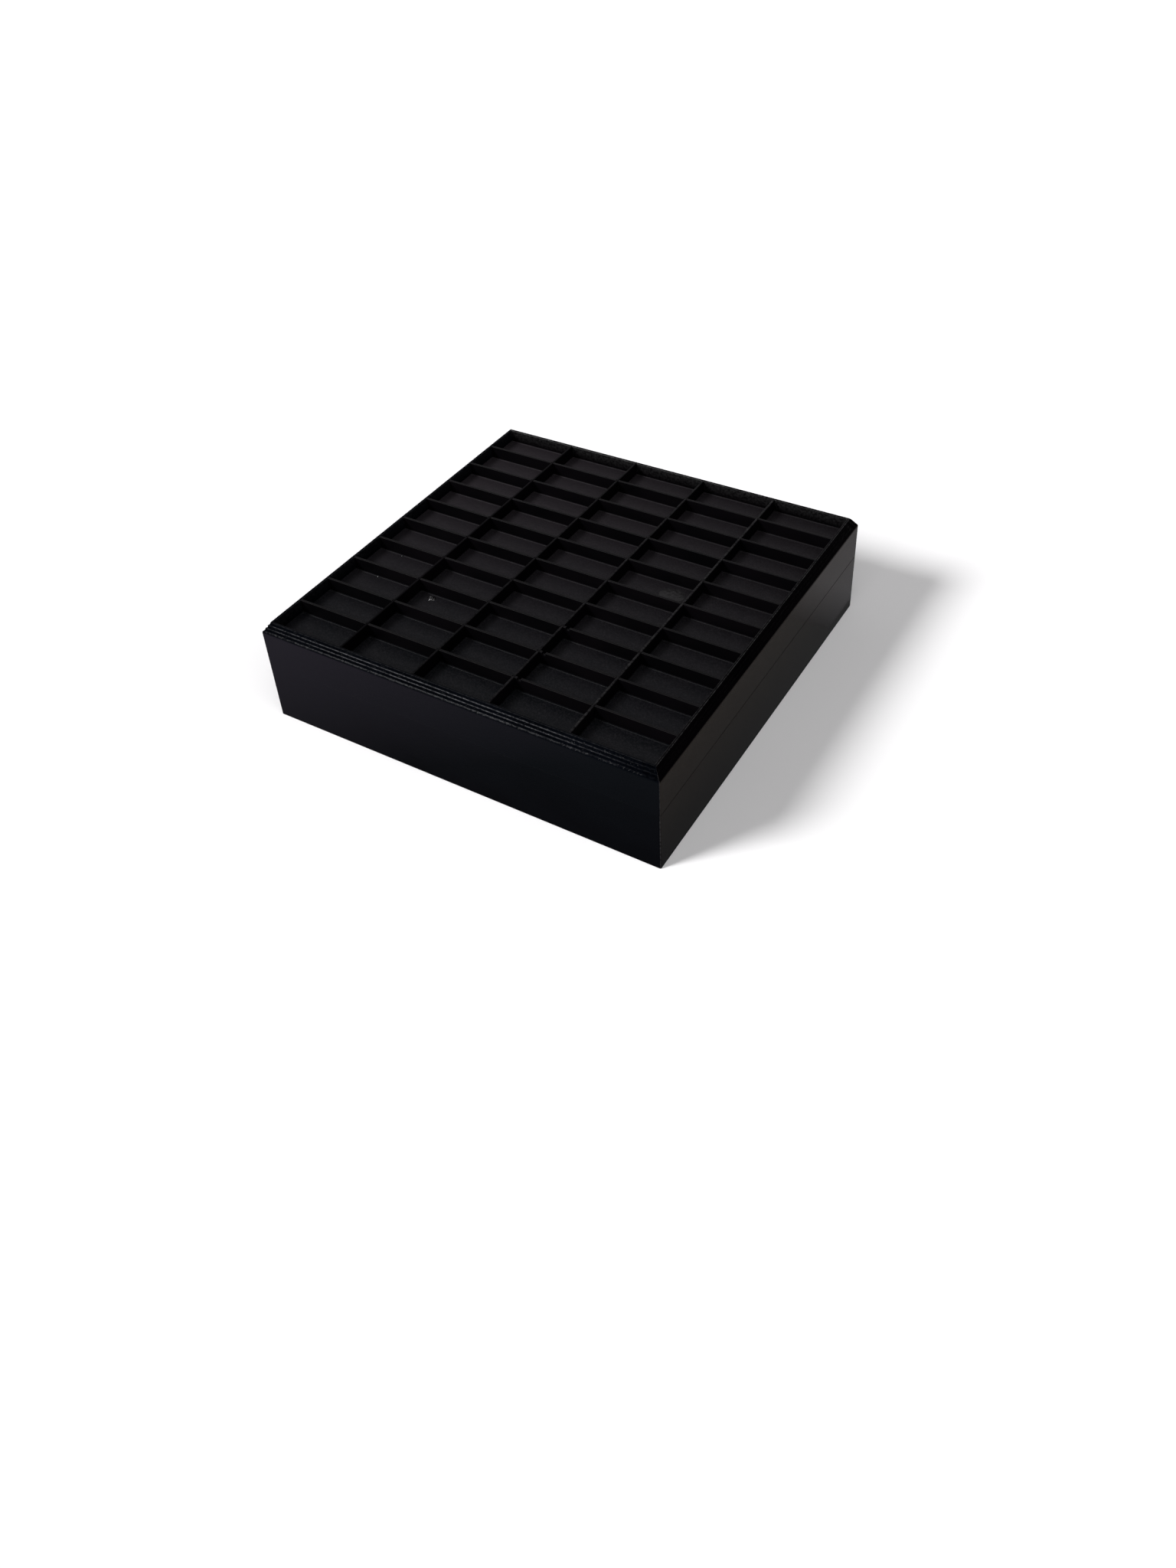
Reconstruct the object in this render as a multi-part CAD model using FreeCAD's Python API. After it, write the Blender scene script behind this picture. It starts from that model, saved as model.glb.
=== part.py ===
import FreeCAD, Part
import os

# Coin display tray: a lift-off tray with fifty shallow pockets that stands on an open storage box.
# The tray is a mitred frame of four chamfered rails, a deck panel held in a groove round the frame,
# and an egg-crate of thin strips, halved into each other, that divides the deck into pockets.
# The box is four mitred walls round a rebated floor panel, with locating strips that stand above
# its rim and hold the tray square.
#
# All sizes are in millimetres. +Z is up, +X is to the right and the front faces -Y.
# The origin is the centre of the underside. Each piece is one solid in parts/NAME.step.

# Pocket grid
COLUMNS = 5
ROWS = 10
POCKET_LENGTH = 25.2
POCKET_WIDTH = 12.1
POCKET_DEPTH = 4.2
STRIP = 0.8                 # thickness of a divider, and width of the flat land on top of a rail
HALVING_GAP = 0.15          # side clearance of a halving slot

# Outside
HEIGHT = 35.5
SEAM_Z = 20.4               # the tray's rails stand on the box's walls at this height
CHAMFER_RUN = 2.2           # the chamfer round the top, measured inwards
CHAMFER_DROP = 3.2          # the same chamfer, measured down the face
SEAM_BREAK = 0.2            # broken edges that draw the seam line round the outside

# Tray frame and deck
DECK_THICKNESS = 2.0
GROOVE_DEPTH = 1.4
GROOVE_END_GAP = 0.1
SKIRT_RELIEF = 0.25         # running clearance between the tray's skirt and the locating strips

# Storage box
FLOOR_THICKNESS = 2.4
REBATE = 1.5
LOCATING_THICKNESS = 1.6
LOCATING_ABOVE = 4.0
LOCATING_BELOW = 6.0
LEAD_IN = 0.5

# Worked out from the sizes above
WALL = CHAMFER_RUN + STRIP
INSIDE_X = COLUMNS * POCKET_LENGTH + (COLUMNS - 1) * STRIP
INSIDE_Y = ROWS * POCKET_WIDTH + (ROWS - 1) * STRIP
WIDTH = INSIDE_X + 2 * WALL
DEPTH = INSIDE_Y + 2 * WALL
POCKET_FLOOR_Z = HEIGHT - POCKET_DEPTH
DECK_Z = POCKET_FLOOR_Z - DECK_THICKNESS
HALVING_Z = POCKET_FLOOR_Z + POCKET_DEPTH / 2
MITRE_REACH = 2 * (WALL + LOCATING_THICKNESS)

# side: (turn about Z in degrees, middle of its outer face, its length)
SIDES = {
    "front": (0, (0, -DEPTH / 2), WIDTH),
    "right": (90, (WIDTH / 2, 0), DEPTH),
    "back": (180, (0, DEPTH / 2), WIDTH),
    "left": (270, (-WIDTH / 2, 0), DEPTH),
}


def box(low, high):
    """An upright box between two opposite corners."""
    size = [b - a for a, b in zip(low, high)]
    return Part.makeBox(*size, FreeCAD.Vector(*low))


def panel(size_x, size_y, low_z, thickness):
    """A flat panel centred on the origin."""
    low = (-size_x / 2, -size_y / 2, low_z)
    return box(low, (size_x / 2, size_y / 2, low_z + thickness))


def prism(points, along):
    """A closed outline pushed along a vector."""
    wire = Part.makePolygon([FreeCAD.Vector(*p) for p in points + points[:1]])
    return Part.Face(wire).extrude(FreeCAD.Vector(*along))


def mitred(profile, side):
    """A length with a constant profile on one side of the square, mitred at both ends.

    The profile's points are (distance in from the outer face, height).
    """
    turn, middle, length = SIDES[side]
    half = length / 2
    bar = prism([(-half, inwards, z) for inwards, z in profile], (length, 0, 0))
    wedge = prism(
        [
            (-half, 0, 0),
            (half, 0, 0),
            (half - MITRE_REACH, MITRE_REACH, 0),
            (MITRE_REACH - half, MITRE_REACH, 0),
        ],
        (0, 0, HEIGHT),
    )
    piece = bar.common(wedge).Solids[0]
    spin = FreeCAD.Rotation(FreeCAD.Vector(0, 0, 1), turn)
    piece.Placement = FreeCAD.Placement(FreeCAD.Vector(*middle, 0), spin)
    return piece


def tray_rail(side):
    """One rail of the tray: chamfered outside, grooved for the deck, relieved below it."""
    skirt = WALL - SKIRT_RELIEF
    groove = WALL - GROOVE_DEPTH
    profile = [
        (SEAM_BREAK, SEAM_Z),
        (0, SEAM_Z + SEAM_BREAK),
        (0, HEIGHT - CHAMFER_DROP),
        (CHAMFER_RUN, HEIGHT),
        (WALL, HEIGHT),
        (WALL, POCKET_FLOOR_Z),
        (groove, POCKET_FLOOR_Z),
        (groove, DECK_Z),
        (skirt, DECK_Z),
        (skirt, SEAM_Z),
    ]
    return mitred(profile, side)


def tray_deck():
    """The panel that is the floor of every pocket, let into the rails' groove."""
    reach = 2 * (GROOVE_DEPTH - GROOVE_END_GAP)
    return panel(INSIDE_X + reach, INSIDE_Y + reach, DECK_Z, DECK_THICKNESS)


def strip_centres(count, pocket):
    """Where the strips between a row of equal pockets lie, measured from the middle."""
    pitch = pocket + STRIP
    return [pitch * (i - count / 2) for i in range(1, count)]


def slots(centres, low_z, high_z):
    """Halving slots across a strip that runs along X."""
    reach = STRIP / 2 + HALVING_GAP
    return [box((c - reach, -STRIP, low_z), (c + reach, STRIP, high_z)) for c in centres]


def divider(length, slot_centres, slot_low_z, slot_high_z):
    """A strip along X, standing on the deck, with its halving slots cut."""
    strip = box((-length / 2, -STRIP / 2, POCKET_FLOOR_Z), (length / 2, STRIP / 2, HEIGHT))
    return strip.cut(slots(slot_centres, slot_low_z, slot_high_z)).Solids[0]


def cross_divider(y):
    """A strip from side to side. Its slots are open at the top."""
    strip = divider(INSIDE_X, strip_centres(COLUMNS, POCKET_LENGTH), HALVING_Z, HEIGHT + 1)
    strip.translate(FreeCAD.Vector(0, y, 0))
    return strip


def long_divider(x):
    """A strip from front to back. Its slots are open at the bottom, so its top edge is unbroken."""
    low_z = POCKET_FLOOR_Z - 1
    strip = divider(INSIDE_Y, strip_centres(ROWS, POCKET_WIDTH), low_z, HALVING_Z)
    spin = FreeCAD.Rotation(FreeCAD.Vector(0, 0, 1), 90)
    strip.Placement = FreeCAD.Placement(FreeCAD.Vector(x, 0, 0), spin)
    return strip


def base_wall(side):
    """One wall of the storage box, rebated at the foot for the floor panel."""
    rebate = WALL - REBATE
    profile = [
        (0, 0),
        (rebate, 0),
        (rebate, FLOOR_THICKNESS),
        (WALL, FLOOR_THICKNESS),
        (WALL, SEAM_Z),
        (SEAM_BREAK, SEAM_Z),
        (0, SEAM_Z - SEAM_BREAK),
    ]
    return mitred(profile, side)


def base_floor():
    """The storage box's floor panel, flush with the underside."""
    return panel(INSIDE_X + 2 * REBATE, INSIDE_Y + 2 * REBATE, 0, FLOOR_THICKNESS)


def locating_strip(side):
    """A strip inside the wall that stands above the rim, with a lead-in on its top outer edge."""
    inner = WALL + LOCATING_THICKNESS
    low_z = SEAM_Z - LOCATING_BELOW
    top_z = SEAM_Z + LOCATING_ABOVE
    profile = [
        (WALL, low_z),
        (inner, low_z),
        (inner, top_z),
        (WALL + LEAD_IN, top_z),
        (WALL, top_z - LEAD_IN),
    ]
    return mitred(profile, side)


def build():
    """Every piece, by name."""
    pieces = {"base_floor": base_floor(), "tray_deck": tray_deck()}
    for side in SIDES:
        pieces["base_wall_" + side] = base_wall(side)
        pieces["locating_strip_" + side] = locating_strip(side)
        pieces["tray_rail_" + side] = tray_rail(side)
    for number, x in enumerate(strip_centres(COLUMNS, POCKET_LENGTH), 1):
        pieces[f"divider_long_{number}"] = long_divider(x)
    for number, y in enumerate(strip_centres(ROWS, POCKET_WIDTH), 1):
        pieces[f"divider_cross_{number}"] = cross_divider(y)
    return pieces


os.makedirs("parts", exist_ok=True)
for name, shape in build().items():
    if not shape.isValid():
        raise ValueError(name + " is not a valid solid")
    shape.exportStep(os.path.join("parts", name + ".step"))
print(f"{WIDTH:.2f} x {DEPTH:.2f} x {HEIGHT:.2f} mm")
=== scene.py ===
from math import cos, pi, radians, sin

import bmesh
import bpy
from mathutils import Matrix, Vector, noise


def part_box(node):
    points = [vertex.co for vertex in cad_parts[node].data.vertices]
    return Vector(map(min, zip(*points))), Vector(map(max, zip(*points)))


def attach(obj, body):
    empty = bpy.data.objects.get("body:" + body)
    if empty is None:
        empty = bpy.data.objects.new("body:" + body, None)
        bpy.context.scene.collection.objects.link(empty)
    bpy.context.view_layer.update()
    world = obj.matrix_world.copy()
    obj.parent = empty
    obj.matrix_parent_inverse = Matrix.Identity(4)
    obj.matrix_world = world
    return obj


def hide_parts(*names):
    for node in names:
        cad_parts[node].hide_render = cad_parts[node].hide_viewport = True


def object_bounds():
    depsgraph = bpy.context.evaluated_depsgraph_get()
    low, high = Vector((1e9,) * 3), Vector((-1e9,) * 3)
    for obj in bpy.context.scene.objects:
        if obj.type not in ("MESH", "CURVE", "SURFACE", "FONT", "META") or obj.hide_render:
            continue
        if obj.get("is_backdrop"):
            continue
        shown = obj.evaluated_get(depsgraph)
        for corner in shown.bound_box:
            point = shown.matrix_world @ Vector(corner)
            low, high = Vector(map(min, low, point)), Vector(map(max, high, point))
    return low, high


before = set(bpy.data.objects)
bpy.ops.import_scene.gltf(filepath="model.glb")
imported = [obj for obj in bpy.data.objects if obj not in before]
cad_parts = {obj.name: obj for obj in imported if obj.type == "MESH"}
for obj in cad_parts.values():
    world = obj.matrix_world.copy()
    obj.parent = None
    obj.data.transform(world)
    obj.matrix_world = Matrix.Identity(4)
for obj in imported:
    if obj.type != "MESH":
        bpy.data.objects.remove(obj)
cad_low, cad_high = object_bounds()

# A coin display tray, printed in matt black plastic, on a pale studio floor.
# Lengths are in metres. +Z is up, +X is to the right and the front faces -Y.

MM = 0.001

# side: (direction along it, direction out of it)
SIDES = {
    "front": ((1, 0), (0, -1)),
    "right": ((0, 1), (1, 0)),
    "back": ((-1, 0), (0, 1)),
    "left": ((0, -1), (-1, 0)),
}
LONG_STRIPS = [f"divider_long_{i}" for i in range(1, 5)]
CROSS_STRIPS = [f"divider_cross_{i}" for i in range(1, 10)]

# Sizes read from the CAD nodes
LEFT_RAIL_LOW, LEFT_RAIL_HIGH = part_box("tray_rail_left")
WALL = LEFT_RAIL_HIGH.x - LEFT_RAIL_LOW.x
TOP_Z = LEFT_RAIL_HIGH.z
SEAM_Z = LEFT_RAIL_LOW.z
DECK_LOW, DECK_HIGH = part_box("tray_deck")
POCKET_Z = DECK_HIGH.z
FLOOR_HIGH_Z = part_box("base_floor")[1].z
STRIP_LOW, STRIP_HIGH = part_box(LONG_STRIPS[0])
STRIP = STRIP_HIGH.x - STRIP_LOW.x
CHAMFER_RUN = WALL - STRIP
HALF_X = cad_high.x
HALF_Y = cad_high.y
HALVING_Z = (POCKET_Z + TOP_Z) / 2

# Edges between faces that meet at more than these angles, in degrees, stay sharp
SIDE_SHARP = 32
STRIP_SHARP = 38
BEAD_SHARP = 70
LUMP_SHARP = 60
OTHER_SHARP = 40

# Sizes of the finer shapes
CHAMFER_DROP = 3.2 * MM
CORNER_RADIUS = 0.55 * MM
SHARP_RADIUS = 0.06 * MM    # the least that a corner is rounded, deeper in
ARC_STEPS = 4
RUN_STEP = 0.3 * MM
GAP = 0.01 * MM             # between pieces that meet face to face
RIB_GROOVES = (0.09, 0.325, 0.6, 0.88)      # places up the chamfer, from 0 to 1
RIBS_END = 0.1 * MM         # short of the chamfer's inner edge
RIB_DEPTH = {"front": 0.26 * MM, "right": 0.012 * MM, "back": 0.05 * MM, "left": 0.14 * MM}
# Painted highlight on the chamfer's rib crests, strongest on the front and left, which face the key
# lamp
RIB_HIGHLIGHT = {"front": 1.0, "right": 0.0, "back": 0.05, "left": 0.4}
RIB_SHARE = (0.45, 1.0, 1.1)                 # how much of that painted highlight each rib has, from the lowest
HIGHLIGHT_MIDDLE = -8 * MM       # where along a side the painted highlight on its ribs is brightest
HIGHLIGHT_REACH = 72 * MM
LEAST_HIGHLIGHT = 0.1            # how much of that painted highlight is left at a side's ends
LAND_HIGHLIGHT = 0.85            # how much painted highlight is kept above the ribs, all along the side
# Painted highlight on the rounded outer corners of rails and box walls
CORNER_HIGHLIGHT = 0.3
CORNER_POINTS = 2           # at each end of a row, on the rounded corner
SEAM_BREAK = {"front": 0.006 * MM, "right": 0.12 * MM, "back": 0.12 * MM, "left": 0.1 * MM}
ROUGHNESS = {"front": 0.1 * MM, "right": 0.01 * MM, "back": 0.03 * MM, "left": 0.08 * MM}
RIPPLES = 2                 # beside the right-hand mitre of a chamfer
RIPPLE_REACH = 4.4 * MM
RIPPLE_DEPTH = 5.5          # times the side's roughness
LAND_FALL = {"front": 0.12 * MM, "right": 0.06 * MM, "back": 0.1 * MM, "left": 0.1 * MM}
FOOT_BREAK = 0.2 * MM
EDGE_ROW = 0.5 * MM         # from a broken edge to the face's first row of points


def middle(node):
    """The centre of a CAD node."""
    low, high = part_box(node)
    return (low + high) / 2


def new_object(name, mesh_data):
    """An object in the scene for a mesh."""
    made = bpy.data.objects.new(name, mesh_data)
    bpy.context.scene.collection.objects.link(made)
    return made


def finish_mesh(bm, name, painted_highlight=None, angle=OTHER_SHARP, face=None):
    """Turns a bmesh into a smooth-shaded mesh with sharp edges kept.

    Each point holds a painted highlight value and whether it is on an outer face, for the material
    to read.
    """
    bmesh.ops.recalc_face_normals(bm, faces=bm.faces)
    data = bpy.data.meshes.new(name)
    bm.to_mesh(data)
    bm.free()
    data.polygons.foreach_set("use_smooth", [True] * len(data.polygons))
    data.set_sharp_from_angle(angle=radians(angle))
    for key, values in (("painted_highlight", painted_highlight), ("face", face)):
        layer = data.attributes.new(key, "FLOAT", "POINT").data
        layer.foreach_set("value", values or [0.0] * len(data.vertices))
    return data


# ---------------------------------------------------------------- materials


WAVE_NODE_TURN = 2 * pi / 20    # a wave node's scale that gives one band in each unit of length
PATCH_FADE = (0.35, 0.65)       # the noise values between which a patch fades in
HIGHLIGHT_NOISE = 0.8 * MM
LEAST_BROKEN_HIGHLIGHT = 0.15              # how much of the painted highlight the noise leaves at least


class Look:
    """A printed plastic's node tree: patchy tone, layer lines, grain and a painted highlight that
    pales its edges.
    """

    def __init__(self, name, ior):
        self.material = bpy.data.materials.new(name)
        self.material.use_nodes = True
        self.tree = self.material.node_tree
        self.shader = self.tree.nodes["Principled BSDF"]
        self.shader.inputs["IOR"].default_value = ior
        self.coords = self.node("ShaderNodeTexCoord").outputs["Object"]
        self.bumped = None

    def node(self, kind, **settings):
        made = self.tree.nodes.new(kind)
        for key, value in settings.items():
            setattr(made, key, value)
        return made

    def join(self, source, target):
        self.tree.links.new(source, target)

    def noise(self, size, detail=3.0, stretch=(1, 1, 1), turn=0.0):
        """Noise whose features are about this size, stretched and turned about Z."""
        place = self.node("ShaderNodeMapping")
        self.join(self.coords, place.inputs["Vector"])
        place.inputs["Rotation"].default_value = (0, 0, radians(turn))
        place.inputs["Scale"].default_value = stretch
        made = self.node("ShaderNodeTexNoise")
        self.join(place.outputs["Vector"], made.inputs["Vector"])
        made.inputs["Scale"].default_value = 1 / size
        made.inputs["Detail"].default_value = detail
        return made.outputs["Fac"]

    def bands(self, spacing, direction="Z", distortion=0.0, turn=0.0):
        """Parallel lines this far apart."""
        place = self.node("ShaderNodeMapping")
        self.join(self.coords, place.inputs["Vector"])
        place.inputs["Rotation"].default_value = (0, 0, radians(turn))
        made = self.node("ShaderNodeTexWave", wave_type="BANDS", bands_direction=direction)
        self.join(place.outputs["Vector"], made.inputs["Vector"])
        made.inputs["Scale"].default_value = WAVE_NODE_TURN / spacing
        made.inputs["Distortion"].default_value = distortion
        made.inputs["Detail"].default_value = 2.0
        made.inputs["Detail Scale"].default_value = 1.5
        return made.outputs["Fac"]

    def spread(self, source, low, high, from_low=0.3, from_high=0.7):
        """Maps a value to a range."""
        made = self.node("ShaderNodeMapRange")
        self.join(source, made.inputs["Value"])
        for key, value in (
            ("From Min", from_low),
            ("From Max", from_high),
            ("To Min", low),
            ("To Max", high),
        ):
            made.inputs[key].default_value = value
        return made.outputs["Result"]

    def mix(self, amount, first, second):
        """Blends two colours, each a colour or another node's output."""
        made = self.node("ShaderNodeMix", data_type="RGBA")
        self.join(amount, made.inputs["Factor"])
        for key, value in (("A", first), ("B", second)):
            target = next(s for s in made.inputs if s.name == key and s.type == "RGBA")
            if isinstance(value, tuple):
                target.default_value = (*value, 1)
            else:
                self.join(value, target)
        return next(s for s in made.outputs if s.type == "RGBA")

    def along(self, direction, start, end):
        """A soft ramp from 0 to 1 along a direction."""
        made = self.node("ShaderNodeVectorMath", operation="DOT_PRODUCT")
        self.join(self.coords, made.inputs[0])
        made.inputs[1].default_value = direction
        return self.spread(made.outputs["Value"], 0.0, 1.0, start, end)

    def bump(self, height, depth):
        """Adds one layer of relief on top of those already there."""
        made = self.node("ShaderNodeBump")
        made.inputs["Strength"].default_value = 1.0
        made.inputs["Distance"].default_value = depth
        self.join(height, made.inputs["Height"])
        if self.bumped:
            self.join(self.bumped, made.inputs["Normal"])
        self.bumped = made.outputs["Normal"]

    def where(self, layer, amount):
        """An amount, only where the piece's own layer allows it."""
        allowed = self.node("ShaderNodeAttribute", attribute_name=layer)
        product = self.node("ShaderNodeMath", operation="MULTIPLY")
        self.join(allowed.outputs["Fac"], product.inputs[0])
        self.join(amount, product.inputs[1])
        return product.outputs[0]

    def painted_highlight(self):
        """How much painted highlight a point gets: the piece's own value, broken up by fine noise.
        """
        broken_highlight = self.spread(self.noise(HIGHLIGHT_NOISE), LEAST_BROKEN_HIGHLIGHT, 1.0, *PATCH_FADE)
        return self.where("painted_highlight", broken_highlight)

    def finish(self, colour, rough):
        self.join(colour, self.shader.inputs["Base Color"])
        self.join(rough, self.shader.inputs["Roughness"])
        self.join(self.bumped, self.shader.inputs["Normal"])
        return self.material


# Walls: the sizes of their features, and how deep each is
WALL_PATCHES = 22 * MM
PATCH_STRETCH = (1, 1, 1.6)
WALL_STREAKS = 0.8 * MM
STREAK_STRETCH = (0.03, 0.03, 1)
WALL_GRAIN = 0.35 * MM
GRAIN_STRETCH = (1, 1, 3)
WALL_LAYERS = 0.2 * MM
LAYER_WAVER = 0.3
WALL_WAVES = 9 * MM
LAYER_DEPTH = 0.0012 * MM
STREAK_DEPTH = 0.0015 * MM
GRAIN_DEPTH = 0.0012 * MM
WAVE_DEPTH = 0.012 * MM
STREAK_ROUGH = (-0.02, 0.03)    # what streaks add to the roughness, from and to


def wall_look(name, dark, light, highlighted, ior, rough, *painted_lights):
    """A printed upright wall: level layer lines, long level streaks and a soft patchy tone.

    Each painted light is a painted reflection on the outer face: (colour, direction it thickens in,
    start, end) along the wall. The highlighted tone is a painted highlight.
    """
    look = Look(name, ior)
    patches = look.spread(look.noise(WALL_PATCHES, 2.0, PATCH_STRETCH), 0.0, 1.0, *PATCH_FADE)
    streaks = look.noise(WALL_STREAKS, 2.0, STREAK_STRETCH)
    colour = look.mix(patches, dark, light)
    # Painted reflections, only on the outer faces
    for tone, direction, start, end in painted_lights:
        painted_light = look.where("face", look.along(direction, start, end))
        colour = look.mix(painted_light, colour, tone)
    # Painted highlight: the paler tone laid on edges, rib crests and strip tops
    colour = look.mix(look.painted_highlight(), colour, highlighted)
    grain = look.noise(WALL_GRAIN, 2.0, GRAIN_STRETCH)
    look.bump(look.bands(WALL_LAYERS, "Z", LAYER_WAVER), LAYER_DEPTH)
    look.bump(streaks, STREAK_DEPTH)
    look.bump(grain, GRAIN_DEPTH)
    look.bump(look.noise(WALL_WAVES, 1.0), WAVE_DEPTH)
    return look.finish(colour, look.spread(streaks, *(rough + more for more in STREAK_ROUGH)))


# Decks: the sizes of their features, and how deep or strong each is
DECK_PATCHES = 14 * MM
STROKES = 0.5 * MM
STROKE_STRETCH = (0.22, 1, 1)
STROKE_TURN = 28
STROKE_MIX = (0.0, 0.35, 0.45, 0.75)        # least and most, and the noise values for them
STROKE_GAIN = 2                             # times the light tone
SPECKLE = 0.35 * MM
SPECKLE_MIX = (0.0, 0.4, 0.45, 0.7)
SPECKLE_TONE = (0.014, 0.013, 0.015)
# Where the pocket floors' painted sheen starts and ends, front to back
SHEEN_START = -55 * MM
SHEEN_END = 32 * MM
INFILL_LINES = 0.42 * MM
INFILL_WAVER = 2.5
INFILL_TURN = 45
DECK_WAVES = 5 * MM
INFILL_DEPTH = 0.007 * MM
STROKE_DEPTH = 0.02 * MM
DECK_WAVE_DEPTH = 0.03 * MM
STROKE_ROUGH = (-0.06, 0.1)                 # what strokes add to the roughness, from and to


def deck_look(name, dark, light, ior, rough, sheen=None):
    """A printed floor: fine slanting strokes of infill with uneven gloss.

    The sheen is two tones of painted sheen that thickens to the back and pales to the left.
    """
    look = Look(name, ior)
    patches = look.spread(look.noise(DECK_PATCHES, 3.0), 0.0, 1.0, *PATCH_FADE)
    strokes = look.noise(STROKES, 3.0, STROKE_STRETCH, STROKE_TURN)
    colour = look.mix(patches, dark, light)
    # Painted sheen, brighter to the back and the left
    if sheen:
        painted_light = look.mix(look.along((-1, 0, 0), -HALF_X, HALF_X), *sheen)
        colour = look.mix(look.along((0, 1, 0), SHEEN_START, SHEEN_END), colour, painted_light)
    stroke_tone = tuple(STROKE_GAIN * c for c in light)
    colour = look.mix(look.spread(strokes, *STROKE_MIX), colour, stroke_tone)
    speckle = look.noise(SPECKLE, 2.0)
    colour = look.mix(look.spread(speckle, *SPECKLE_MIX), colour, SPECKLE_TONE)
    look.bump(look.bands(INFILL_LINES, "X", INFILL_WAVER, INFILL_TURN), INFILL_DEPTH)
    look.bump(strokes, STROKE_DEPTH)
    look.bump(look.noise(DECK_WAVES, 1.0), DECK_WAVE_DEPTH)
    return look.finish(colour, look.spread(strokes, *(rough + more for more in STROKE_ROUGH)))


# Painted reflections on the outer faces: on the front and left, lighter toward the top and the top
# left; on the right and back, lighter toward the top. Each: (colour, direction it thickens in,
# start, end)
FRONT_REFLECTION_UP = ((0.0018, 0.0023, 0.0032), (0.0, 0.0, 1.0), 4 * MM, 34 * MM)
FRONT_REFLECTION_LEFT = ((0.0080, 0.0070, 0.0100), (-1.0, 0.0, 2.2), 18 * MM, 130 * MM)
RIGHT_REFLECTION_UP = ((0.0140, 0.0110, 0.0090), (0.0, 0.0, 1.0), 5 * MM, 34 * MM)
FRONT_REFLECTIONS = (FRONT_REFLECTION_UP, FRONT_REFLECTION_LEFT)

# Dark and light tones of each plastic, and the tones of painted highlights. FRONT_TONES, RIM_TONES
# and SIDE_TONES are one black plastic, tinted apart by side as painted reflections.
FRONT_TONES = ((0.0001, 0.0002, 0.0007), (0.0005, 0.0007, 0.0014))
RIM_TONES = ((0.0004, 0.0006, 0.0012), (0.0010, 0.0013, 0.0023))
SIDE_TONES = ((0.0004, 0.0003, 0.0005), (0.0010, 0.0007, 0.0010))
STRIP_TONES = ((0.0007, 0.0006, 0.0009), (0.0016, 0.0012, 0.0017))
CRUMPLED_TONES = ((0.0036, 0.0035, 0.0037), (0.0075, 0.0070, 0.0074))
DECK_TONES = ((0.0006, 0.0010, 0.0015), (0.0016, 0.0017, 0.0023))
# Painted sheen on the pocket floors, in two tones
DECK_SHEEN = ((0.0040, 0.0033, 0.0039), (0.0116, 0.0095, 0.0112))
INSIDE_TONES = ((0.0016, 0.0016, 0.0019), (0.0036, 0.0032, 0.0036))
MELTED_TONES = ((0.0020, 0.0018, 0.0022), (0.0040, 0.0036, 0.0040))
# Painted highlight tones: corners and land edges, rib crests, cross strip tops and long strip tops
EDGE_HIGHLIGHT = (0.085, 0.083, 0.085)
RIB_HIGHLIGHT_TONE = (0.045, 0.045, 0.049)
CROSS_HIGHLIGHT_TONE = (0.004, 0.0036, 0.004)
LONG_HIGHLIGHT_TONE = (0.03, 0.029, 0.03)

# The two numbers in each look are its index of refraction and its roughness. The low indices
# keep the plastic's reflections as faint as they are in the photo.
# box_front and rim_front dress the front and left, box_side and rim_side the right and back: one
# plastic, shaded apart by side with painted reflections
LOOKS = {
    "box_front": wall_look("box_front_black", *FRONT_TONES, EDGE_HIGHLIGHT, 1.05, 0.2, *FRONT_REFLECTIONS),
    "box_side": wall_look("box_side_black", *SIDE_TONES, EDGE_HIGHLIGHT, 1.06, 0.14, RIGHT_REFLECTION_UP),
    "rim_front": wall_look("rim_front_black", *RIM_TONES, RIB_HIGHLIGHT_TONE, 1.05, 0.2, *FRONT_REFLECTIONS),
    "rim_side": wall_look("rim_side_black", *SIDE_TONES, EDGE_HIGHLIGHT, 1.06, 0.14, RIGHT_REFLECTION_UP),
    # strip_long has a brighter painted highlight tone for the long strips' tops
    "strip": wall_look("divider_black", *STRIP_TONES, CROSS_HIGHLIGHT_TONE, 1.115, 0.4),
    "strip_long": wall_look("long_divider_black", *STRIP_TONES, LONG_HIGHLIGHT_TONE, 1.07, 0.4),
    "crumpled": deck_look("crumpled_black", *CRUMPLED_TONES, 1.18, 0.32),
    "deck": deck_look("deck_black", *DECK_TONES, 1.15, 0.5, DECK_SHEEN),
    "inside": deck_look("inside_black", *INSIDE_TONES, 1.15, 0.45),
    "melted": deck_look("melted_black", *MELTED_TONES, 1.45, 0.16),
}


def dress(made, body, slot, look, *nodes):
    """Sets what a piece rides on, its look, and the nodes that it stands for. The slot is not used.
    """
    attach(made, body)
    made.data.materials.clear()
    made.data.materials.append(LOOKS[look])
    if nodes:
        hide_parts(*nodes)


# ---------------------------------------------------------------- mitred sides


def halves(side):
    """Half the side's length and the distance from the middle out to its face."""
    return (HALF_X, HALF_Y) if side in ("front", "back") else (HALF_Y, HALF_X)


def side_line(side, inset):
    """Points along one side at a distance in from its face.

    They follow half a corner arc, a straight run and half the next corner arc.
    """
    half_along, half_out = halves(side)
    radius = max(CORNER_RADIUS - inset, SHARP_RADIUS)
    turn_u = half_along - inset - radius
    turn_v = half_out - inset - radius
    angles = [pi / 4 * i / ARC_STEPS for i in range(ARC_STEPS + 1)]
    right_arc = [(turn_u + radius * sin(a), turn_v + radius * cos(a)) for a in angles]
    left_arc = [(-u, v) for u, v in reversed(right_arc)]
    count = round(2 * half_along / RUN_STEP)
    run = [(turn_u * (2 * i / count - 1), turn_v + radius) for i in range(1, count)]
    return left_arc + run + right_arc


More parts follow.
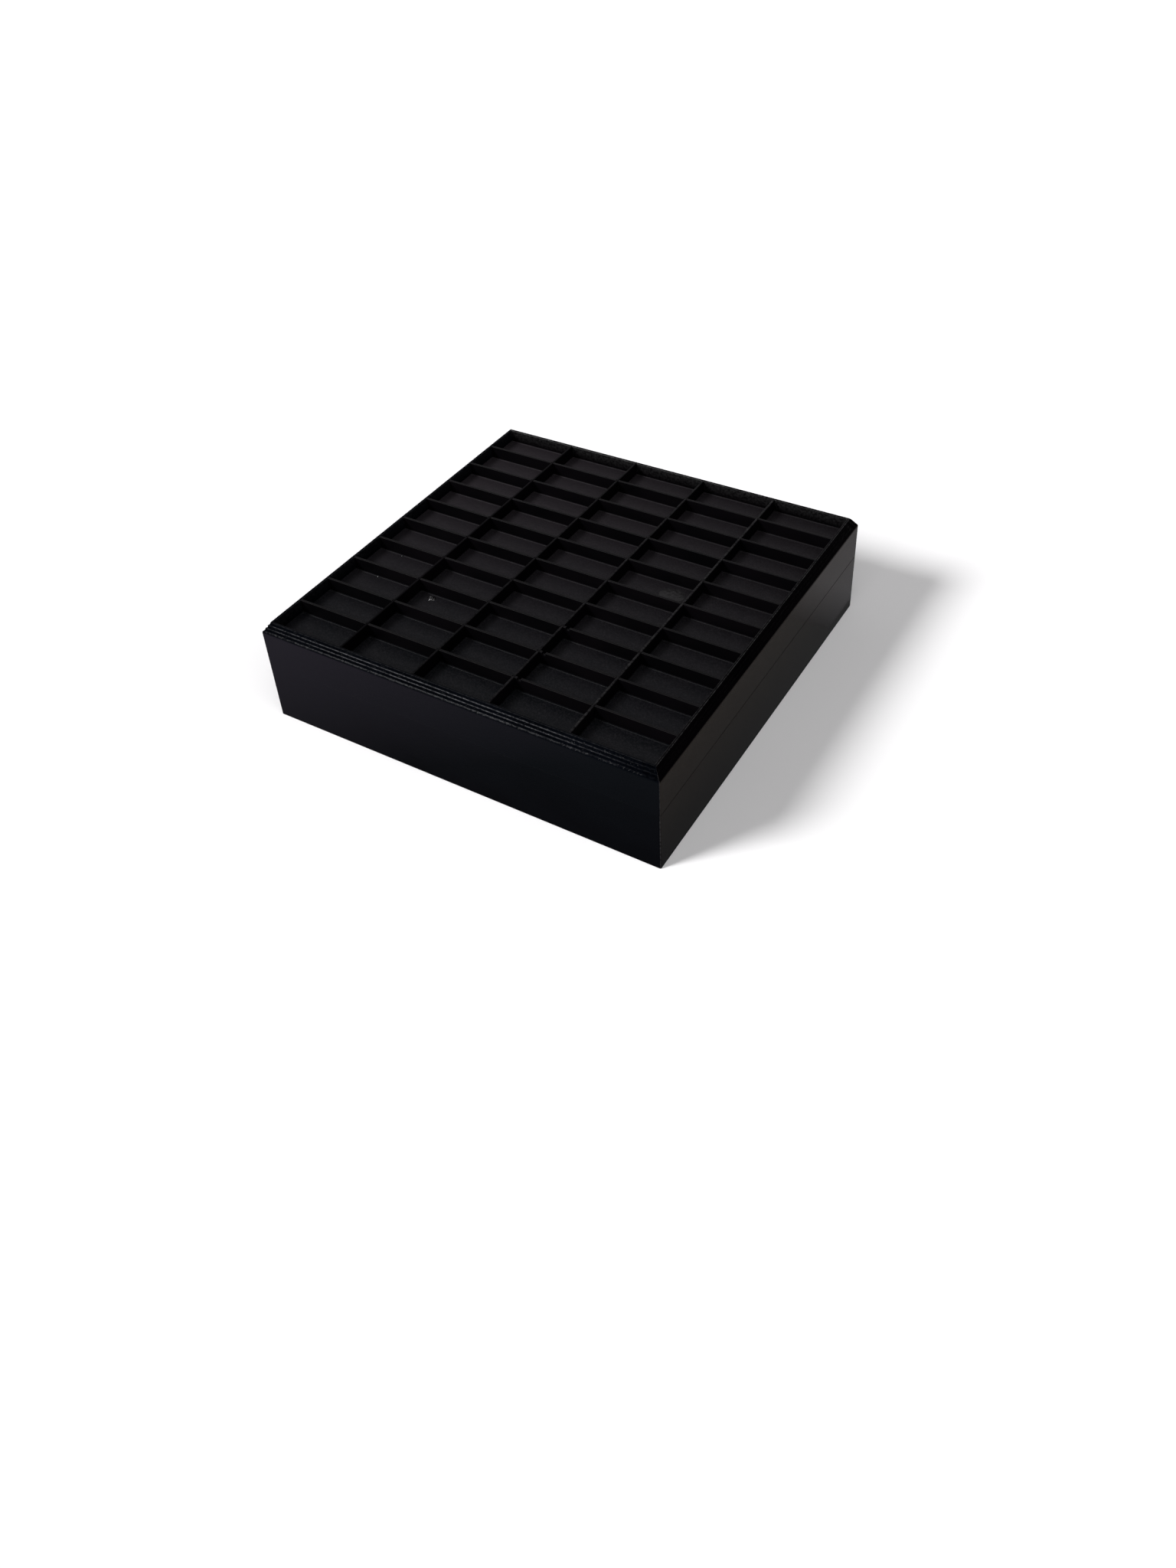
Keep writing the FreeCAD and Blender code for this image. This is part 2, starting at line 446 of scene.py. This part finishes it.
def side_point(side, u, v, z):
    """A point from distances along and out of a side."""
    along, out = SIDES[side]
    return Vector((u * along[0] + v * out[0], u * along[1] + v * out[1], z))


def mitred_side(name, side, profile, shift=None):
    """A length of a profile on one side, its outer corners rounded and its ends mitred.

    The profile's points are (inset, height, painted highlight). The painted highlight of ribs fades
    to the side's ends.
    A shift gives how far each point moves outwards and upwards.
    """
    bm = bmesh.new()
    rows = []
    painted_highlight = []
    face = []
    for inset, z, highlighted in profile:
        row = []
        line = side_line(side, inset)
        ribbed = inset < CHAMFER_RUN - RIBS_END
        for i, (u, v) in enumerate(line):
            move = shift(side, u, inset, z) if shift else (0, 0)
            row.append(bm.verts.new(side_point(side, u, v + move[0], z + move[1])))
            # Painted highlight: strongest on the ribs near the side's middle, steady on the land,
            # fixed on the corners
            fade = max(LEAST_HIGHLIGHT, 1 - ((u - HIGHLIGHT_MIDDLE) / HIGHLIGHT_REACH) ** 2)
            from_end = min(i, len(line) - 1 - i)
            on_corner = inset < WALL / 2 and from_end < CORNER_POINTS
            painted_highlight.append(CORNER_HIGHLIGHT if on_corner else highlighted * (fade if ribbed else LAND_HIGHLIGHT))
            face.append(1.0 if inset == 0 else 0.0)
        rows.append(row)
    for first, second in zip(rows, rows[1:] + rows[:1]):
        for i in range(len(first) - 1):
            bm.faces.new((first[i], first[i + 1], second[i + 1], second[i]))
    bm.faces.new([row[0] for row in rows])
    bm.faces.new([row[-1] for row in reversed(rows)])
    return new_object(name, finish_mesh(bm, name, painted_highlight, SIDE_SHARP, face))


# One rib from groove to groove: (place along it, depth in from the crest, painted highlight)
RIB = (
    (0.0, 1.0, 0.0),
    (0.1, 0.62, 0.0),
    (0.24, 0.2, 0.0),
    (0.38, 0.02, 0.1),
    (0.47, 0.0, 1.0),
    (0.58, 0.06, 1.0),
    (0.69, 0.2, 0.1),
    (0.82, 0.5, 0.0),
    (0.93, 0.9, 0.0),
)
LOWEST_RIB_START = 0.4      # the lowest rib has no groove below it and starts here
CHAMFER_LIP = (0.12 * MM, 0.32 * MM)    # in from the face, and up from the chamfer's foot


def chamfer_profile(side):
    """The ribbed slope round the top, from the outer face up to the land."""
    slope = Vector((CHAMFER_RUN, CHAMFER_DROP))
    inward = Vector((slope.y, -slope.x)).normalized()
    foot_z = TOP_Z - CHAMFER_DROP
    points = [(0, foot_z, 0.0), (CHAMFER_LIP[0], foot_z + CHAMFER_LIP[1], 0.0)]
    for low, high, share in zip(RIB_GROOVES, RIB_GROOVES[1:], RIB_SHARE):
        for place, dip, painted_highlight in RIB:
            if low == RIB_GROOVES[0] and place < LOWEST_RIB_START:
                continue
            along = slope * (low + (high - low) * place)
            point = Vector((0, foot_z)) + along + inward * dip * RIB_DEPTH[side]
            points.append((point.x, point.y, painted_highlight * share * RIB_HIGHLIGHT[side]))
    last = Vector((0, foot_z)) + slope * RIB_GROOVES[-1] + inward * RIB_DEPTH[side]
    return points + [(last.x, last.y, 0.0)]


def rail_profile(side):
    """A tray rail's outline, with its ribs, seam and land as they are on that side."""
    land_fall = LAND_FALL[side]
    seam = SEAM_BREAK[side]
    skirt = WALL - 0.25 * MM
    groove = DECK_LOW.x + HALF_X + 2 * GAP
    edge = 0.09 * MM
    return [
        # The outer face and its chamfer
        (seam, SEAM_Z, 0.0),
        (0, SEAM_Z + seam, 0.0),
        (0, SEAM_Z + EDGE_ROW, 0.0),
        (0, TOP_Z - CHAMFER_DROP - 0.4 * MM, 0.0),
        *chamfer_profile(side),
        # The land, from its outer edge to its inner one, with a painted highlight on both edges
        (CHAMFER_RUN - 0.02 * MM, TOP_Z - 0.14 * MM, 0.0),
        (CHAMFER_RUN + 0.05 * MM, TOP_Z - 0.04 * MM, 0.3),
        (CHAMFER_RUN + 0.16 * MM, TOP_Z - 0.01 * MM, 0.35),
        (CHAMFER_RUN + 0.3 * MM, TOP_Z - land_fall / 4, 0.0),
        (WALL - 0.25 * MM, TOP_Z - land_fall / 2, 0.0),
        (WALL - edge, TOP_Z - land_fall * 0.8, 0.4),
        (WALL, TOP_Z - land_fall - edge, 0.2),
        # The groove that holds the deck, and the skirt below it
        (WALL, POCKET_Z + GAP, 0.0),
        (groove, POCKET_Z + GAP, 0.0),
        (groove, DECK_LOW.z - GAP, 0.0),
        (skirt, DECK_LOW.z - GAP, 0.0),
        (skirt, SEAM_Z, 0.0),
    ]


ROUGH_START = 0.4 * MM      # above the chamfer's foot
ROUGH_RIGHT = 55 * MM       # how far from each end the chamfer grows rougher
ROUGH_LEFT = 5 * MM
ROUGH_LAST = 6 * MM
FINE_LENGTH = 0.8 * MM      # the noise's size along the chamfer and across it
FINE_WIDTH = 0.5 * MM
BROAD_LENGTH = 3 * MM
BROAD_WIDTH = 0.7 * MM
END_GAIN = 4.5
LAST_GAIN = 4
BROAD_GAIN = 1.6
SIDE_SEED = 10              # keeps the sides' noise apart
CHAMFER_NORMAL = (0.82, 0.57)   # about square to its slope: out of the side, and up


def rough_chamfer(side, u, inset, z):
    """Small unevenness on the chamfer, stronger to its right-hand end.

    Ripples run beside the mitre at that end.
    """
    if z < TOP_Z - CHAMFER_DROP + ROUGH_START or inset > CHAMFER_RUN:
        return (0, 0)
    half_along = halves(side)[0]
    to_right = half_along - u
    to_left = half_along + u
    near_end = max(0.0, 1 - to_right / ROUGH_RIGHT, 1 - to_left / ROUGH_LEFT)
    last_bit = max(0.0, 1 - to_right / ROUGH_LAST)
    seed = SIDE_SEED * list(SIDES).index(side)
    fine = noise.noise(Vector((u / FINE_LENGTH + seed, inset / FINE_WIDTH, z / FINE_WIDTH)))
    broad = noise.noise(Vector((u / BROAD_LENGTH + seed, inset / BROAD_WIDTH, 0)))
    from_mitre = min(abs(half_along - inset - u), RIPPLE_REACH)
    ripple = RIPPLE_DEPTH * sin(RIPPLES * pi * from_mitre / RIPPLE_REACH) ** 2
    size = fine * (1 + END_GAIN * near_end**2 + LAST_GAIN * last_bit) + BROAD_GAIN * broad
    outwards = -ROUGHNESS[side] * (abs(size) + ripple)
    return (outwards * CHAMFER_NORMAL[0], outwards * CHAMFER_NORMAL[1])


for side in SIDES:
    rim = mitred_side("rim_" + side, side, rail_profile(side), rough_chamfer)
    look = "rim_front" if side in ("front", "left") else "rim_side"
    dress(rim, "display_tray", "tray_frame_plastic", look, "tray_rail_" + side)


REBATE_RUN = 1.5 * MM


def wall_profile(side):
    """A box wall's outline, rebated at the foot for the floor panel."""
    seam = SEAM_BREAK[side]
    rebate = WALL - REBATE_RUN
    return [
        (FOOT_BREAK, 0, 0.0),
        (rebate, 0, 0.0),
        (rebate, FLOOR_HIGH_Z, 0.0),
        (WALL, FLOOR_HIGH_Z, 0.0),
        (WALL, SEAM_Z, 0.0),
        (seam, SEAM_Z, 0.0),
        (0, SEAM_Z - seam, 0.0),
        (0, SEAM_Z - EDGE_ROW, 0.0),
        (0, FOOT_BREAK + EDGE_ROW, 0.0),
        (0, FOOT_BREAK, 0.0),
    ]


for side in SIDES:
    wall = mitred_side("box_" + side, side, wall_profile(side))
    look = "box_front" if side in ("front", "left") else "box_side"
    dress(wall, "storage_box", "box_plastic", look, "base_wall_" + side)


# ---------------------------------------------------------------- dividers


EDGE_WAVES = 3 * MM         # the length of the unevenness along a strip's top
EDGE_SEED = 900
BOTTOM_STEP = 50 * MM       # between the points of a strip's straight lower edge
TOP_STEP = 1.4 * MM
TOP_WOBBLE = 0.07 * MM
TOP_BAND = 0.3 * MM         # edges this near the top are rounded
TOP_ROUND = 0.2 * MM
TOP_ROUND_STEPS = 3
# How near the top a strip gets its painted highlight
HIGHLIGHT_BAND = 0.25 * MM
HIGHLIGHT_SEED = 700
HIGHLIGHT_SHARES = (0.6, 0.4)    # the steady and the uneven part of a top's painted highlight
SAME_PLACE = 1e-7


def notched_edge(half, z, notches, step, wobble):
    """An edge from -half to half at a height, dropping or rising into each (low, high, z) notch."""
    points = []
    place = -half
    for low, high, notch_z in notches + [(half, half, z)]:
        count = max(1, round((low - place) / step))
        for i in range(count + 1):
            u = place + (low - place) * i / count
            dip = abs(noise.noise(Vector((u / EDGE_WAVES, z * EDGE_SEED, 0))))
            points.append((u, z - wobble * dip))
        if low < high:
            points += [(low, notch_z), (high, notch_z)]
        place = high
    return points


def strip_object(name, node, across, lower, upper, highlighted=1.0):
    """A thin upright strip with notches in its lower or upper edge and its top softly rounded."""
    low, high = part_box(node)
    centre = (low + high) / 2
    axis = 0 if across else 1
    half = (high[axis] - low[axis]) / 2
    under = notched_edge(half, POCKET_Z, lower, BOTTOM_STEP, 0.0)
    over = notched_edge(half, TOP_Z - GAP, upper, TOP_STEP, TOP_WOBBLE)
    bm = bmesh.new()
    outline = []
    for u, z in under + over[::-1]:
        point = Vector((u, -STRIP / 2, z)) if across else Vector((STRIP / 2, u, z))
        outline.append(bm.verts.new(point + Vector((centre.x, centre.y, 0))))
    face = bm.faces.new(outline)
    made = bmesh.ops.extrude_face_region(bm, geom=[face])
    push = Vector((0, STRIP, 0)) if across else Vector((-STRIP, 0, 0))
    moved = [v for v in made["geom"] if isinstance(v, bmesh.types.BMVert)]
    bmesh.ops.translate(bm, verts=moved, vec=push)
    top_edges = [
        e
        for e in bm.edges
        if min(v.co.z for v in e.verts) > TOP_Z - TOP_BAND
        and abs((e.verts[0].co - e.verts[1].co)[1 - axis]) < SAME_PLACE
    ]
    bmesh.ops.bevel(
        bm, geom=top_edges, offset=TOP_ROUND, segments=TOP_ROUND_STEPS, profile=0.5, affect="EDGES"
    )
    # Painted highlight along the strip's top
    steady, uneven = HIGHLIGHT_SHARES
    painted_highlight = []
    for v in bm.verts:
        near_top = max(0.0, 1 - (TOP_Z - v.co.z) / HIGHLIGHT_BAND)
        painted_highlight.append(highlighted * near_top * (steady + uneven * noise.noise(v.co * HIGHLIGHT_SEED)))
    return new_object(name, finish_mesh(bm, name, painted_highlight, STRIP_SHARP))


SLOT_HALF = STRIP / 2 + 0.06 * MM
SLOT_GAP = 2 * GAP          # from the halving height to the end of each slot
LONG_HIGHLIGHT = (0.0, 0.25, 0.5, 0.85)          # how much painted highlight each long strip's top gets, from the left
NOTCHED_STRIPS = ("divider_cross_1", "divider_cross_2", "divider_cross_3")
NOTCH_BESIDE = 3            # a small notch is to the right of this long strip
NOTCH_START = 1.3 * MM
NOTCH_END = 2.5 * MM
NOTCH_DEPTH = 0.9 * MM

for number, node in enumerate(LONG_STRIPS, 1):
    lower = []
    for crossing in CROSS_STRIPS:
        low = middle(crossing).y - SLOT_HALF - middle(node).y
        high = middle(crossing).y + SLOT_HALF - middle(node).y
        lower.append((low, high, HALVING_Z + SLOT_GAP))
    strip = strip_object(f"strip_long_{number}", node, False, lower, [], LONG_HIGHLIGHT[number - 1])
    dress(strip, "display_tray", "divider_plastic", "strip_long", node)

for number, node in enumerate(CROSS_STRIPS, 1):
    upper = []
    for crossing in LONG_STRIPS:
        place = middle(crossing).x
        upper.append((place - SLOT_HALF, place + SLOT_HALF, HALVING_Z - SLOT_GAP))
    if node in NOTCHED_STRIPS:
        beside = middle(LONG_STRIPS[NOTCH_BESIDE - 1]).x
        notch = (beside + NOTCH_START, beside + NOTCH_END, TOP_Z - NOTCH_DEPTH)
        upper.insert(NOTCH_BESIDE, notch)
    strip = strip_object(f"strip_cross_{number}", node, True, [], upper)
    dress(strip, "display_tray", "divider_plastic", "strip", node)


# ---------------------------------------------------------------- pocket details


def pocket_spans(low, high, strips, axis):
    """The open intervals between two walls and the strips that divide them."""
    edges = [low]
    for node in strips:
        place = middle(node)[axis]
        edges += [place - STRIP / 2, place + STRIP / 2]
    edges.append(high)
    return list(zip(edges[::2], edges[1::2]))


COLUMN_SPANS = pocket_spans(-HALF_X + WALL, HALF_X - WALL, LONG_STRIPS, 0)
ROW_SPANS = pocket_spans(-HALF_Y + WALL, HALF_Y - WALL, CROSS_STRIPS, 1)


BEAD_WIDTH = 0.4 * MM
BEAD_HEIGHT = 0.13 * MM
BEAD_INSET = 0.4 * MM       # from the pocket's wall to the middle of the bead
BEAD_CORNER = 0.5 * MM
BEAD_SUNK = 0.03 * MM       # its foot, below the pocket's floor
BEAD_STEP = 1.6 * MM
BEAD_POINTS = 6             # round its section
BEAD_SIDE = 0.2             # its height along the long strips, from 0 to 1
BEAD_SWELL = 0.35
BEAD_NOISE = 450
BEAD_SEED_STEP = 7          # from column to column of pockets


def bead_loop(bm, columns, rows, seed):
    """A low rounded bead round a pocket's floor."""
    low = Vector((columns[0] + BEAD_INSET, rows[0] + BEAD_INSET))
    high = Vector((columns[1] - BEAD_INSET, rows[1] - BEAD_INSET))
    path = []
    for cx, cy, start in (
        (high.x, high.y, 0),
        (low.x, high.y, 90),
        (low.x, low.y, 180),
        (high.x, low.y, 270),
    ):
        centre_x = cx - BEAD_CORNER if cx == high.x else cx + BEAD_CORNER
        centre_y = cy - BEAD_CORNER if cy == high.y else cy + BEAD_CORNER
        for turn in (0, 30, 60, 90):
            angle = radians(start + turn)
            out = Vector((cos(angle), sin(angle)))
            path.append((Vector((centre_x, centre_y)) + out * BEAD_CORNER, out))
    dense = []
    for (point, out), (after, out_after) in zip(path, path[1:] + path[:1]):
        count = max(1, round((after - point).length / BEAD_STEP))
        for i in range(count):
            t = i / count
            dense.append((point.lerp(after, t), out.lerp(out_after, t).normalized()))
    rings = []
    for point, out in dense:
        place = Vector((point.x * BEAD_NOISE + seed, point.y * BEAD_NOISE, 3))
        swell = 1 + BEAD_SWELL * noise.noise(place)
        swell *= BEAD_SIDE + (1 - BEAD_SIDE) * abs(out.y)
        ring = []
        for step in range(BEAD_POINTS):
            angle = pi * step / (BEAD_POINTS - 1)
            shift = out * cos(angle) * BEAD_WIDTH / 2
            z = POCKET_Z - BEAD_SUNK + (BEAD_HEIGHT * swell + BEAD_SUNK) * sin(angle)
            ring.append(bm.verts.new((point.x + shift.x, point.y + shift.y, z)))
        rings.append(ring)
    for first, second in zip(rings, rings[1:] + rings[:1]):
        for i in range(BEAD_POINTS):
            j = (i + 1) % BEAD_POINTS
            bm.faces.new((first[i], first[j], second[j], second[i]))


beads_mesh = bmesh.new()
for column, columns in enumerate(COLUMN_SPANS):
    for row, rows in enumerate(ROW_SPANS):
        bead_loop(beads_mesh, columns, rows, BEAD_SEED_STEP * column + row)
beads = new_object("pocket_beads", finish_mesh(beads_mesh, "pocket_beads", None, BEAD_SHARP))
dress(beads, "display_tray", "deck_plastic", "deck")


LUMP_RINGS = 14
LUMP_STEPS = 40
SPECK_STEPS = 12
LUMP_EDGE = 0.16            # how uneven its outline is
LUMP_EDGE_WAVES = 1.3
LUMP_SEED = 900
LUMP_SUNK = 0.02 * MM       # its edge, below the pocket's floor
LUMP_FALL = 2.4             # the powers at which its height and its bumps fall to the edge
LUMP_BUMP_FALL = 4


def lump(name, centre, size, height, roughness, steps=LUMP_STEPS):
    """A low uneven mound on a pocket floor, round in plan, closed underneath.

    Its roughness is the length and the height of its small bumps.
    """
    bm = bmesh.new()
    bump_length, bump_height = roughness
    rings = []
    for ring in range(1, LUMP_RINGS + 1):
        reach = ring / LUMP_RINGS
        row = []
        for i in range(steps):
            angle = 2 * pi * i / steps
            round_x = cos(angle) * LUMP_EDGE_WAVES
            round_y = sin(angle) * LUMP_EDGE_WAVES
            edge = 1 + LUMP_EDGE * noise.noise(Vector((round_x, round_y, size.x * LUMP_SEED)))
            x = cos(angle) * size.x * reach * edge
            y = sin(angle) * size.y * reach * edge
            rough = noise.noise(Vector((x, y, 0)) / bump_length) * bump_height
            z = height * (1 - reach**LUMP_FALL) + rough * (1 - reach**LUMP_BUMP_FALL)
            place = (centre.x + x, centre.y + y, POCKET_Z + max(z, 0) - LUMP_SUNK * reach)
            row.append(bm.verts.new(place))
        rings.append(row)
    top = bm.verts.new((centre.x, centre.y, POCKET_Z + height))
    for i in range(steps):
        j = (i + 1) % steps
        bm.faces.new((top, rings[0][i], rings[0][j]))
        for first, second in zip(rings, rings[1:]):
            bm.faces.new((first[i], second[i], second[j], first[j]))
    bm.faces.new(rings[-1])
    return new_object(name, finish_mesh(bm, name, None, LUMP_SHARP))


def pocket_spot(column, row, right, forward):
    """A place on a pocket's floor, measured from the pocket's middle. Pockets count from 0."""
    x = sum(COLUMN_SPANS[column]) / 2 + right
    y = sum(ROW_SPANS[row]) / 2 + forward
    return Vector((x, y))


# Each lump: its place, half its length and width, its height and its roughness
BLOB_SPOT = pocket_spot(1, 2, -7.2 * MM, 4.0 * MM)
BLOB_SIZE = Vector((1.5, 1.15)) * MM
BLOB_HEIGHT = 0.42 * MM
BLOB_ROUGH = (0.45 * MM, 0.38 * MM)
SPECK_SPOTS = (
    pocket_spot(0, 3, -3.4 * MM, 5.3 * MM),
    pocket_spot(0, 2, -3.2 * MM, 5.4 * MM),
    pocket_spot(1, 1, 9.0 * MM, -3.0 * MM),
    pocket_spot(1, 1, 10.6 * MM, 4.9 * MM),
)
SPECK_SIZE = Vector((0.4, 0.35)) * MM
SPECK_HEIGHT = 0.3 * MM
SPECK_ROUGH = (0.3 * MM, 0.12 * MM)
PATCH_SPOT = pocket_spot(3, 5, 5.5 * MM, 0.9 * MM)
PATCH_SIZE = Vector((4.2, 3.7)) * MM
PATCH_HEIGHT = 0.2 * MM
PATCH_ROUGH = (1.1 * MM, 0.22 * MM)

blob = lump("pocket_blob", BLOB_SPOT, BLOB_SIZE, BLOB_HEIGHT, BLOB_ROUGH)
dress(blob, "display_tray", "deck_plastic", "melted")
for number, spot in enumerate(SPECK_SPOTS, 1):
    name = f"pocket_speck_{number}"
    speck = lump(name, spot, SPECK_SIZE, SPECK_HEIGHT, SPECK_ROUGH, SPECK_STEPS)
    dress(speck, "display_tray", "deck_plastic", "melted")
patch = lump("pocket_patch", PATCH_SPOT, PATCH_SIZE, PATCH_HEIGHT, PATCH_ROUGH)
dress(patch, "display_tray", "deck_plastic", "crumpled")


# ---------------------------------------------------------------- the CAD nodes that stay

for node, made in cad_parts.items():
    if made.hide_render:
        continue
    deck = node == "tray_deck"
    made.data.materials.clear()
    made.data.materials.append(LOOKS["deck" if deck else "inside"])


# ---------------------------------------------------------------- floor, light and camera


FLOOR_REACH = 12.0
FLOOR_Z = -0.02 * MM        # just below the box's underside
FLOOR_TONES = ((0.80, 0.795, 0.80), (0.81, 0.805, 0.81))
FLOOR_IOR = 1.2
FLOOR_ROUGH = (0.7, 0.75)
FLOOR_PATCHES = 40 * MM
FLOOR_GRAIN = 2 * MM
FLOOR_GRAIN_DEPTH = 0.004 * MM


def level_sheet(name, low, high, z):
    """A flat level rectangle."""
    bm = bmesh.new()
    corners = [(low.x, low.y), (high.x, low.y), (high.x, high.y), (low.x, high.y)]
    bm.faces.new([bm.verts.new((x, y, z)) for x, y in corners])
    return new_object(name, finish_mesh(bm, name))


def pale_floor():
    """A wide plain floor."""
    corner = Vector((FLOOR_REACH, FLOOR_REACH))
    floor = level_sheet("studio_floor", -corner, corner, FLOOR_Z)
    look = Look("pale_floor", FLOOR_IOR)
    soft = look.spread(look.noise(FLOOR_PATCHES, 2.0), 0.0, 1.0)
    colour = look.mix(soft, *FLOOR_TONES)
    look.bump(look.noise(FLOOR_GRAIN, 2.0), FLOOR_GRAIN_DEPTH)
    floor.data.materials.append(look.finish(colour, look.spread(soft, *FLOOR_ROUGH)))
    floor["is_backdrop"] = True


CARD_LOW = Vector((HALF_X + 1.5 * MM, HALF_Y - 15 * MM))
CARD_REACH = 160 * MM
CARD_Z = 0.1 * MM
CARD_TONE = (1, 0.97, 1, 1)
CARD_EDGE = 0.43            # as bright as the shaded floor beside it
CARD_GLOW = 1.08
CARD_FADE = 23 * MM


def painted_reflection_sheet():
    """A glowing sheet on the floor behind the right-hand corner, brighter to the back: a painted
    reflection.

    It stands in for the photo's bright ground there, and only reflections show it.
    """
    corner = CARD_LOW + Vector((CARD_REACH, CARD_REACH))
    glow_sheet = level_sheet("glowing_reflection_sheet", CARD_LOW, corner, CARD_Z)
    look = Look("painted_reflection_glow", 1.0)
    look.shader.inputs["Base Color"].default_value = (0, 0, 0, 1)
    look.shader.inputs["Emission Color"].default_value = CARD_TONE
    # Painted reflection glow, from as bright as the shaded floor to brighter at the back
    glow_ramp = look.along((0, 1, 0), CARD_LOW.y, CARD_LOW.y + CARD_FADE)
    glow = look.spread(glow_ramp, CARD_EDGE, CARD_GLOW, 0.0, 1.0)
    look.join(glow, look.shader.inputs["Emission Strength"])
    glow_sheet.data.materials.append(look.material)
    for kind in ("camera", "diffuse", "transmission", "volume_scatter", "shadow"):
        setattr(glow_sheet, "visible_" + kind, False)
    glow_sheet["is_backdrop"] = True


KEY_DIRECTION = Vector((-30, -37, 35.3)).normalized()
KEY_STRENGTH = 4.05
KEY_SPREAD = 16.5
FILL_DIRECTION = Vector((0.45, -0.4, 0.8)).normalized()
FILL_STRENGTH = 1.7
FILL_SPREAD = 60.0
SKY_SOFT = 0.12             # the even fill
SKY_LOW = 0.05              # the glow in reflections, from its edge to its middle
SKY_HIGH = 1.3
SKY_EDGE = 0.45             # the cosine of the glow's half width
SKY_TONE = (1.0, 0.98, 1.0, 1)
SKY_DIRECTION = Vector((-0.15, 0.68, 0.72)).normalized()
BACKDROP = 0.86


def soft_lamp(name, direction, strength, spread):
    """A distant light with soft-edged shadows."""
    lamp = bpy.data.lights.new(name, "SUN")
    lamp.energy = strength
    lamp.angle = radians(spread)
    made = bpy.data.objects.new(name, lamp)
    made.rotation_euler = direction.to_track_quat("Z", "Y").to_euler()
    bpy.context.scene.collection.objects.link(made)


def studio_sky():
    """Faint even fill, a reflected glow above and behind on the left, and a plain pale backdrop."""
    world = bpy.data.worlds.new("studio")
    world.use_nodes = True
    tree = world.node_tree
    fill = tree.nodes["Background"]
    coords = tree.nodes.new("ShaderNodeTexCoord")
    dot = tree.nodes.new("ShaderNodeVectorMath")
    dot.operation = "DOT_PRODUCT"
    dot.inputs[1].default_value = SKY_DIRECTION
    tree.links.new(coords.outputs["Generated"], dot.inputs[0])
    level = tree.nodes.new("ShaderNodeMapRange")
    level.inputs["From Min"].default_value = SKY_EDGE
    level.inputs["From Max"].default_value = 1.0
    level.inputs["To Min"].default_value = SKY_LOW
    level.inputs["To Max"].default_value = SKY_HIGH
    tree.links.new(dot.outputs["Value"], level.inputs["Value"])
    path = tree.nodes.new("ShaderNodeLightPath")
    strength = tree.nodes.new("ShaderNodeMapRange")
    strength.inputs["To Min"].default_value = SKY_SOFT
    tree.links.new(path.outputs["Is Glossy Ray"], strength.inputs["Value"])
    tree.links.new(level.outputs["Result"], strength.inputs["To Max"])
    tree.links.new(strength.outputs["Result"], fill.inputs["Strength"])
    fill.inputs["Color"].default_value = SKY_TONE
    backdrop = tree.nodes.new("ShaderNodeBackground")
    backdrop.inputs["Color"].default_value = (BACKDROP, BACKDROP, BACKDROP, 1)
    choose = tree.nodes.new("ShaderNodeMixShader")
    tree.links.new(path.outputs["Is Camera Ray"], choose.inputs["Fac"])
    tree.links.new(fill.outputs["Background"], choose.inputs[1])
    tree.links.new(backdrop.outputs["Background"], choose.inputs[2])
    tree.links.new(choose.outputs["Shader"], tree.nodes["World Output"].inputs["Surface"])
    bpy.context.scene.world = world


CAMERA_PLACE = (0.18324, -0.2749, 0.26729)
CAMERA_RIGHT = Vector((0.85695, 0.513389, -0.045477))
CAMERA_UP = Vector((-0.291557, 0.555641, 0.778625))
SENSOR_HEIGHT = 36.0        # this and the lens in millimetres
LENS = 29.917
SHIFT_Y = -0.08444          # as the photo's framing needs
CLIP_START = 0.01
CLIP_END = 100.0


def studio_camera():
    """The camera, above and in front of the right-hand corner."""
    data = bpy.data.cameras.new("camera")
    data.sensor_fit = "VERTICAL"
    data.sensor_height = SENSOR_HEIGHT
    data.lens = LENS
    data.shift_y = SHIFT_Y
    data.clip_start = CLIP_START
    data.clip_end = CLIP_END
    made = bpy.data.objects.new("camera", data)
    basis = Matrix((CAMERA_RIGHT, CAMERA_UP, CAMERA_RIGHT.cross(CAMERA_UP))).transposed()
    made.matrix_world = Matrix.Translation(CAMERA_PLACE) @ basis.to_4x4()
    bpy.context.scene.collection.objects.link(made)
    bpy.context.scene.camera = made


pale_floor()
painted_reflection_sheet()
soft_lamp("key", KEY_DIRECTION, KEY_STRENGTH, KEY_SPREAD)
soft_lamp("fill", FILL_DIRECTION, FILL_STRENGTH, FILL_SPREAD)
studio_sky()
studio_camera()
bpy.context.scene.view_settings.view_transform = "Standard"

low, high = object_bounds()
